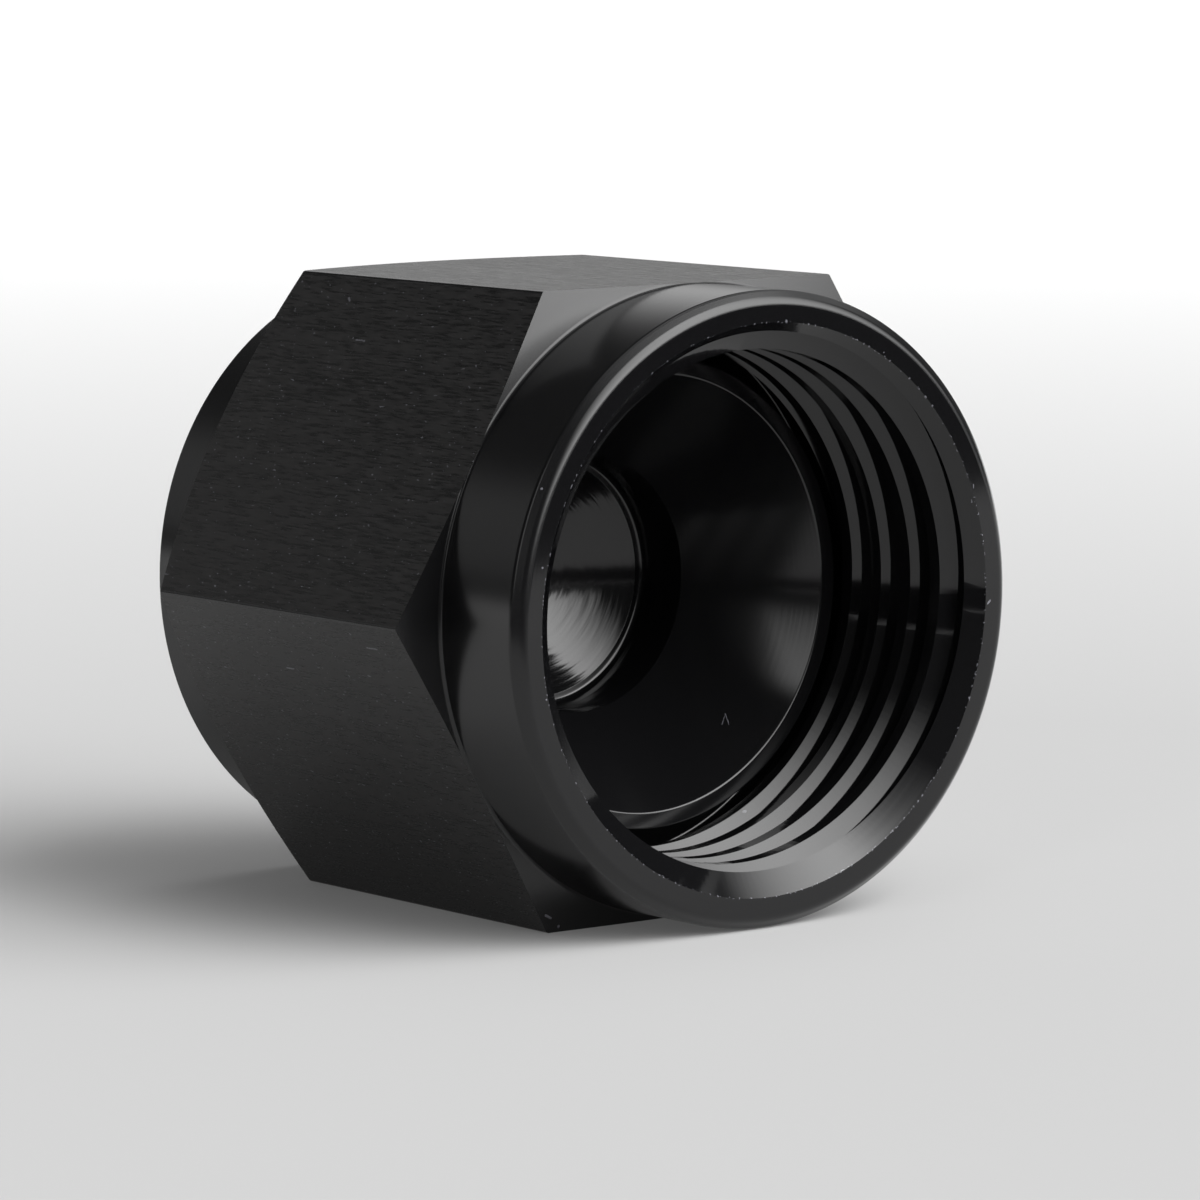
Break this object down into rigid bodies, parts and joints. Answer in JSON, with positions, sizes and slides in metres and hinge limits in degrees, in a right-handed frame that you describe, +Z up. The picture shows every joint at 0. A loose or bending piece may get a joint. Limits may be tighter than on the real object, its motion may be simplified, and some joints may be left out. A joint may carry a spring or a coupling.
{
  "type": "threaded protection cap",
  "caption": "Blind hexagon cap nut with a fine internal thread and a cone seat, screwed over a flared hydraulic fitting to protect and seal it.",
  "frame": {"origin": "on the cap's axis, in the plane of the mouth face", "axes": "+X along the axis and out of the mouth, +Z up and square to the flat that the cap lies on, +Y across two hexagon corners"},
  "size_m": [0.025, 0.0292, 0.0254],
  "materials": {
    "anodised_aluminium": "satin black anodised"
  },
  "bodies": {
    "root": {"cap_body": "anodised_aluminium"}
  },
  "joints": []
}
